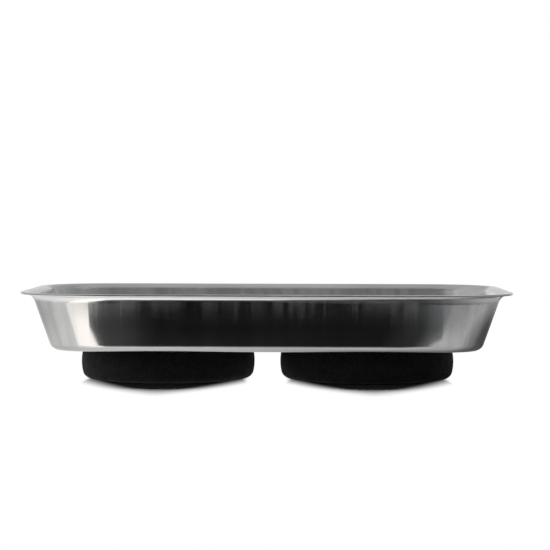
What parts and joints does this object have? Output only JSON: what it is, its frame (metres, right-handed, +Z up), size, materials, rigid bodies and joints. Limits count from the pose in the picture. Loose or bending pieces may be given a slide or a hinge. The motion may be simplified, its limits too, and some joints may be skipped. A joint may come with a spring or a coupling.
{
  "type": "magnetic parts tray",
  "caption": "Rectangular pressed stainless tray with tapered walls and a flat rim, on round rubber-booted magnet bases, for holding small steel parts.",
  "frame": {"origin": "on the surface that the tray stands on, under the middle of the pan", "axes": "+X along the length of the pan towards the right-hand base, +Y across it away from the viewer, +Z up"},
  "size_m": [0.24, 0.14, 0.0447],
  "materials": {
    "stainless_sheet": "satin drawn stainless sheet",
    "boot_rubber": "matte moulded rubber with a fine grain",
    "cup_steel": "zinc-plated pressed steel",
    "ferrite": "sintered ferrite, ground on its faces",
    "plated_steel": "bright zinc-plated steel"
  },
  "bodies": {
    "root": {"tray_pan": "stainless_sheet", "left_rubber_boot": "boot_rubber", "left_magnet_cup": "cup_steel", "left_ring_magnet": "ferrite", "left_packing_washer": "plated_steel", "left_fixing_screw": "plated_steel", "left_spring_washer": "plated_steel", "left_hex_nut": "plated_steel", "right_rubber_boot": "boot_rubber", "right_magnet_cup": "cup_steel", "right_ring_magnet": "ferrite", "right_packing_washer": "plated_steel", "right_fixing_screw": "plated_steel", "right_spring_washer": "plated_steel", "right_hex_nut": "plated_steel"}
  },
  "joints": []
}
